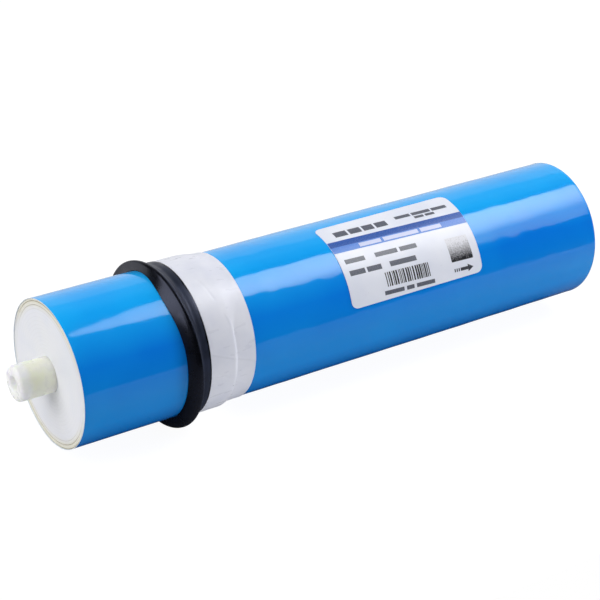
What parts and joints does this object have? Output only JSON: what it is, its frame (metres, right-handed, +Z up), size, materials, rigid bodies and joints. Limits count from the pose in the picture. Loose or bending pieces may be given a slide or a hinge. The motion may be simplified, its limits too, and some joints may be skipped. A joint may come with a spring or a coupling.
{
  "type": "reverse osmosis membrane element",
  "caption": "Spiral-wound membrane cartridge: a leaf roll on a perforated product tube, with tape wrap, rubber cup seal, tape band, label and ringed outlet spigot.",
  "frame": {"origin": "on the axis, at the end of the outlet spigot, where the element plugs into its housing", "axes": "+X along the axis, out of the outlet end, with the feed end at low X; +Z up, so that the label is on the -Y side and upper half; +Y to the bare side"},
  "size_m": [0.333, 0.0832, 0.0832],
  "materials": {
    "tube_plastic": "slightly see-through moulded plastic, off-white with a green cast",
    "membrane_leaf": "cut edge of coated polyester felt and net, matt white with beige lines",
    "wrap_tape": "glossy blue film tape with faint creases",
    "seal_rubber": "moulded black rubber with a soft sheen",
    "band_tape": "glossy white vinyl tape with creases",
    "label_film": "printed white film label, smooth",
    "ring_rubber": "black rubber, lightly greased"
  },
  "bodies": {
    "root": {"product_tube": "tube_plastic", "leaf_roll": "membrane_leaf", "tape_wrap": "wrap_tape", "brine_seal": "seal_rubber", "seal_band": "band_tape", "label": "label_film", "inner_ring": "ring_rubber", "outer_ring": "ring_rubber"}
  },
  "joints": []
}
